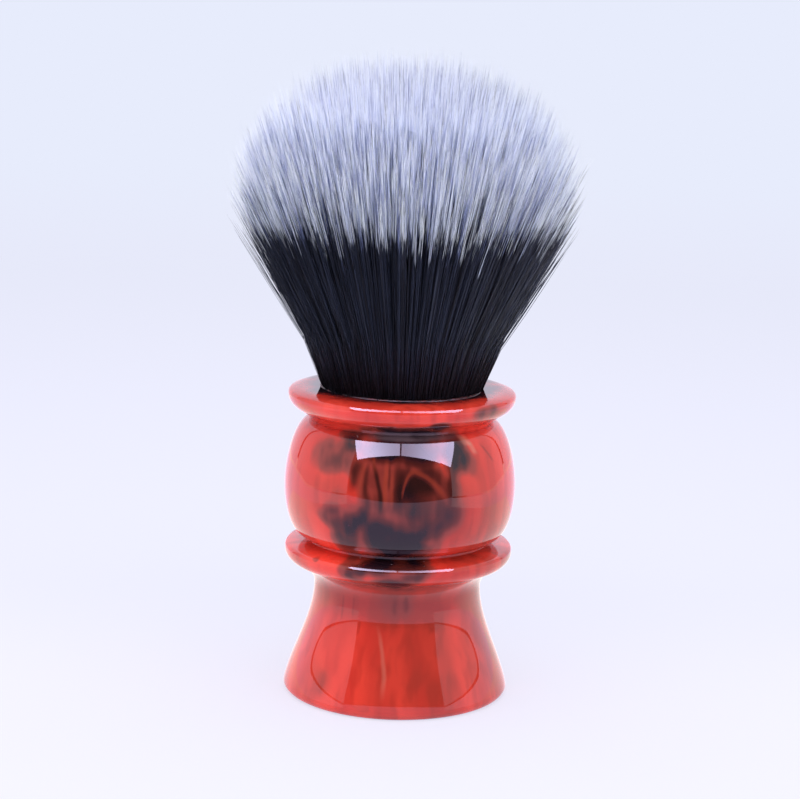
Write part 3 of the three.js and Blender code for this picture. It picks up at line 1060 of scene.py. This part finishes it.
def card(name, corners, radiance, fade=None):
    """A flat glowing card that only mirrors see. A fade is (near, far, level near, level far)."""
    shape = bmesh.new()
    shape.faces.new([shape.verts.new(corner) for corner in corners])
    material, w = new_material(name)
    strength = 1.0
    if fade:
        strength = w.ramp(w.math("ABSOLUTE", w.split(w.place())["X"]), *fade)
    w.surface(w.emission(radiance, strength))
    made = put(name, mesh_of(shape), material)
    for ray in ("camera", "diffuse", "shadow", "transmission", "volume_scatter"):
        setattr(made, "visible_" + ray, False)


def facing(half_width, y, low, high):
    """Corners of an upright card that faces along Y."""
    return [(-half_width, y, low), (half_width, y, low), (half_width, y, high), (-half_width, y, high)]


def hang_tent():
    """The white tent, its floor tray, its dark open front and two lamp panels, with seams between them."""
    side, back, front, opening, top = 0.14, 0.085, -0.118, -0.155, 0.26
    far, tray, seam, sky = back + 0.01, 0.027, 0.0014, 0.115
    wall, rear, dark = (0.9, 0.875, 1.0), (0.47, 0.46, 0.52), (0.05, 0.05, 0.06)
    glow, light = (1.1, 1.05, 1.25), (10.5, 9.2, 13.5)
    tray_near, tray_wide = (0.85, 0.75, 1.05), (1.3, 1.22, 1.52)
    rise = [(front, 0.0245), (0.02, 0.023), (0.05, 0.0275), (back, 0.0275)]
    for x, label in ((-side, "left"), (side, "right")):
        low = [(x, y, z + seam) for y, z in rise]
        card("tent_side_" + label, low + [(x, back, top), (x, front, top)], wall)
        high = [(x, far, tray)] + [(x, y, z - seam) for y, z in reversed(rise)]
        card("tray_side_" + label, [(x, front, 0), (x, far, 0)] + high, tray_wide)
    card("tent_back", facing(side, far, 0.03, top), glow)
    card("tray_back", facing(side, far, 0, tray), tray_wide)
    roof = [(-side, opening, top), (side, opening, top), (side, far, top), (-side, far, top)]
    card("tent_top", roof, rear)
    card("tray_front", facing(side, front, 0, rise[0][1]), tray_near)
    card("open_front", facing(1, opening, 0.0005, sky), dark)
    left = [(-0.002, -0.15, 0.139), (-0.152, -0.15, 0.129), (-0.08, 0.046, 0.25), (-0.002, 0.005, 0.25)]
    right = [(0.002, -0.15, 0.139), (0.13, -0.105, 0.089), (0.075, 0.075, 0.25), (0.002, 0.005, 0.25)]
    card("lamp_left", left, light, (0.0, 100.0, 0.7, 1.26))
    card("lamp_right", right, light, (0.0, 90.0, 0.5, 1.00))


def light_world(scene):
    """Soft white light from all round, less from the tent's open front. The camera sees plain paper."""
    world = bpy.data.worlds.new("tent_light")
    scene.world = world
    w = emptied(world)
    x, y, z = w.split(w.add("TexCoord")["Generated"])
    opening = w.times(w.ramp(y, -0.45, -0.8), w.ramp(z, 0.5, 0.3))
    beside = w.times(w.ramp(w.math("ABSOLUTE", x), 0.35, 0.85), w.ramp(z, 0.15, 0.5))
    above = w.plus(w.ramp(z, 0.45, 0.95, 0.9, 1.5), beside, 0.4)
    level = w.math("SUBTRACT", above, w.times(opening, 0.6))
    backdrop, soft, dark = (
        w.add("Background", {"Color": rgb, "Strength": strength})[0]
        for rgb, strength in ((FAR_PAPER, 1.0), ((1.0, 0.99, 1.0), level), ((0.02, 0.02, 0.025), 1.0))
    )
    path = w.add("LightPath")
    unseen = w.shaders(path["Is Glossy Ray"], soft, dark)
    w.add("OutputWorld", {"Surface": w.shaders(path["Is Camera Ray"], unseen, backdrop)})


def hang_lamp():
    """The wide soft lamp over the front, which lights matt surfaces. Mirrors see the lamp panels."""
    data = bpy.data.lights.new("lamp", "AREA")
    data.shape = "RECTANGLE"
    data.size, data.size_y = 0.4, 0.22
    data.energy = 0.45
    lamp = linked("lamp", data)
    lamp.location = LAMP_PLACE
    lamp.rotation_euler = (Vector(LAMP_AIM) - lamp.location).to_track_quat("-Z", "Y").to_euler()
    lamp.visible_glossy = False


# ---- Panel and registration ----


class BRUSH_PT_panel(bpy.types.Panel):
    """Lists the brush's sizes, finishes and pieces"""

    bl_idname = "BRUSH_PT_panel"
    bl_label = "Shaving Brush"
    bl_space_type = "VIEW_3D"
    bl_region_type = "UI"
    bl_category = "Shaving Brush"

    def draw(self, context):
        for name in GROUPS:
            group = getattr(context.scene, name)
            box = self.layout.box()
            for label in group.__annotations__:
                box.prop(group, label)
        for operator in OPERATORS:
            self.layout.operator(operator.bl_idname)


GROUPS = {
    "brush_handle": HandleSizes,
    "brush_knot": KnotSizes,
    "brush_resin": ResinFinish,
    "brush_bristle": BristleFinish,
}
OPERATORS = (BRUSH_OT_stage, BRUSH_OT_handle, BRUSH_OT_glue, BRUSH_OT_hidden_parts, BRUSH_OT_bristles)
CLASSES = (*GROUPS.values(), *OPERATORS, BRUSH_PT_panel)


def register():
    for kind in CLASSES:
        bpy.utils.register_class(kind)
    for name, kind in GROUPS.items():
        setattr(bpy.types.Scene, name, bpy.props.PointerProperty(type=kind))


def unregister():
    for name in GROUPS:
        delattr(bpy.types.Scene, name)
    for kind in reversed(CLASSES):
        bpy.utils.unregister_class(kind)


def main():
    register()
    bpy.ops.brush.stage()
    bpy.ops.brush.handle()
    bpy.ops.brush.glue()
    bpy.ops.brush.hidden_parts()
    bpy.ops.brush.bristles()


if __name__ == "__main__":
    main()
